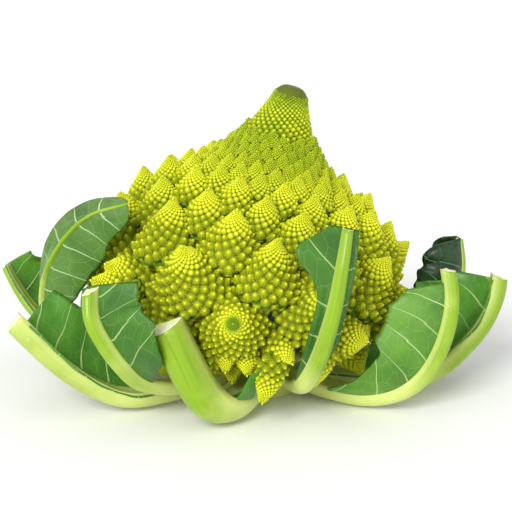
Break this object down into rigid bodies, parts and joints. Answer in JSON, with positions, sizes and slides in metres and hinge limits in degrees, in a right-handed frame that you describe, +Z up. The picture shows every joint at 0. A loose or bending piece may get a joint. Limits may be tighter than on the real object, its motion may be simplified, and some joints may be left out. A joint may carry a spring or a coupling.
{
  "type": "romanesco head",
  "caption": "Romanesco head: a leaning yellow-green cone of spiralling pointed florets on a cut stump, cupped by trimmed wrapper leaves.",
  "frame": {"origin": "middle of the stump's cut face, on the surface the head stands on", "axes": "+Z up out of the stump through the head, -Y the side seen in the picture, +X to the viewer's right, the way the head leans"},
  "size_m": [0.2462, 0.1809, 0.149],
  "materials": {
    "curd": "yellow-green curd of tight pointed buds, waxy and matt",
    "stump": "pale cut stalk, moist and slightly fibrous",
    "leaf_rib": "pale green leaf rib, smooth and slightly glossy, cut ends cream",
    "leaf_blade": "mid to dark green leaf blade with pale veins and a waxy bloom"
  },
  "bodies": {
    "root": {"curd": "curd", "stump": "stump", "leaf_front_right_rib": "leaf_rib", "leaf_front_right_blade": "leaf_blade", "leaf_right_front_rib": "leaf_rib", "leaf_right_front_blade": "leaf_blade", "leaf_right_rib": "leaf_rib", "leaf_right_blade": "leaf_blade", "leaf_back_right_rib": "leaf_rib", "leaf_back_right_blade": "leaf_blade", "leaf_back_1_rib": "leaf_rib", "leaf_back_1_blade": "leaf_blade", "leaf_back_2_rib": "leaf_rib", "leaf_back_2_blade": "leaf_blade", "leaf_back_3_rib": "leaf_rib", "leaf_back_3_blade": "leaf_blade", "leaf_back_4_rib": "leaf_rib", "leaf_back_4_blade": "leaf_blade", "leaf_left_back_rib": "leaf_rib", "leaf_left_back_blade": "leaf_blade", "leaf_left_tall_rib": "leaf_rib", "leaf_left_tall_blade": "leaf_blade", "leaf_left_low_rib": "leaf_rib", "leaf_left_low_blade": "leaf_blade", "leaf_left_front_rib": "leaf_rib", "leaf_left_front_blade": "leaf_blade", "leaf_front_rib": "leaf_rib", "leaf_front_blade": "leaf_blade"}
  },
  "joints": []
}
